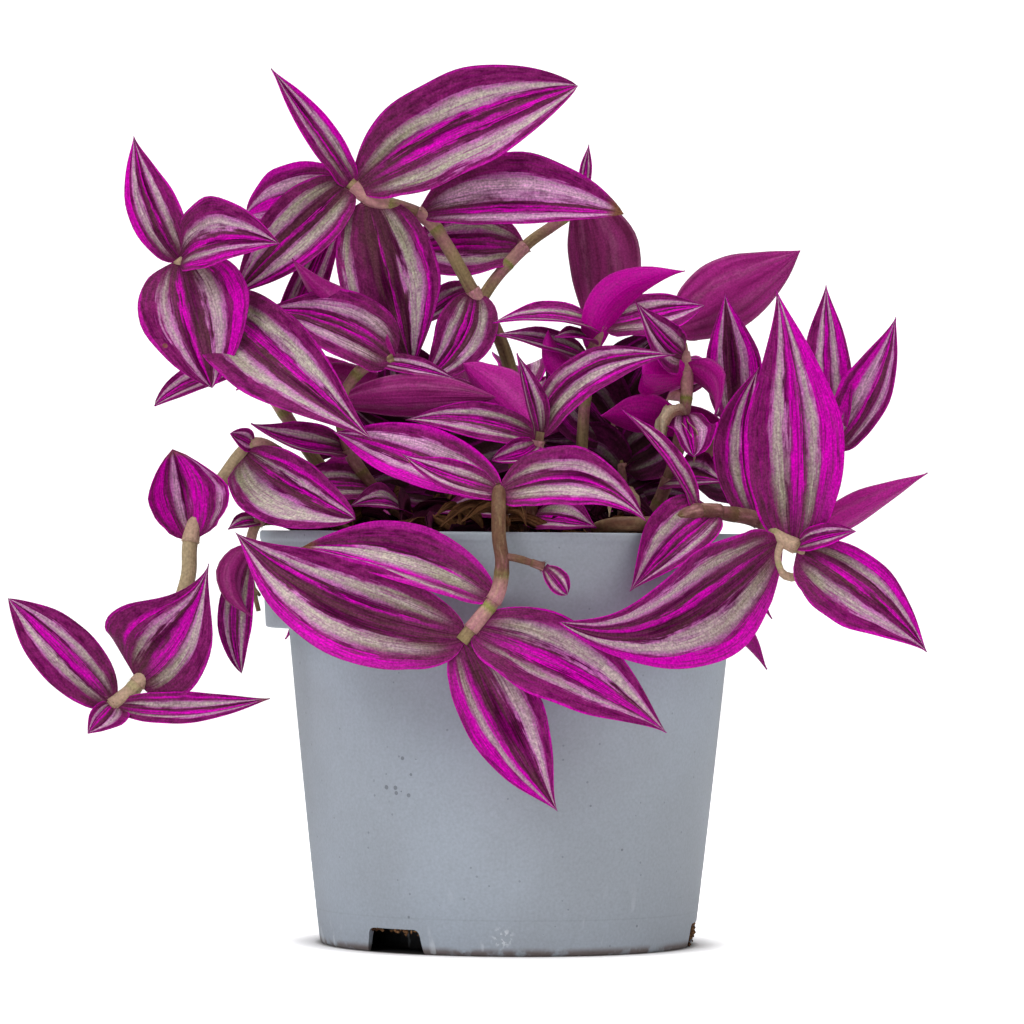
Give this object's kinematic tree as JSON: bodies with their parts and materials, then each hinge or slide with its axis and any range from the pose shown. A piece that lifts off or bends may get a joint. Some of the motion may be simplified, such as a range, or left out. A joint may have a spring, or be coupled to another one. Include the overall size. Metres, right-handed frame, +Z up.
{
  "type": "potted tradescantia",
  "caption": "Trailing house plant with striped pointed leaves, growing in a round tapered nursery pot.",
  "frame": {"origin": "centre of the pot's underside, on the surface it stands on", "axes": "+Z up along the pot's axis, -Y towards the side that the picture shows"},
  "size_m": [0.2171, 0.1809, 0.2107],
  "materials": {
    "pot_plastic": "satin",
    "potting_mix": "matte",
    "leaf": "satin"
  },
  "bodies": {
    "root": {"pot": "pot_plastic", "soil": "potting_mix", "stem_top": "leaf", "stem_upper_left": "leaf", "stem_middle_left": "leaf", "stem_left_trailing": "leaf", "stem_left_low": "leaf", "stem_front": "leaf", "stem_middle": "leaf", "stem_upper_middle": "leaf", "stem_upper_right": "leaf", "stem_right": "leaf", "stem_inner_left": "leaf", "stem_inner_right": "leaf", "stem_right_back": "leaf", "stem_back_1": "leaf", "stem_back_2": "leaf", "stem_back_3": "leaf", "stem_back_4": "leaf", "stem_back_5": "leaf"}
  },
  "joints": []
}
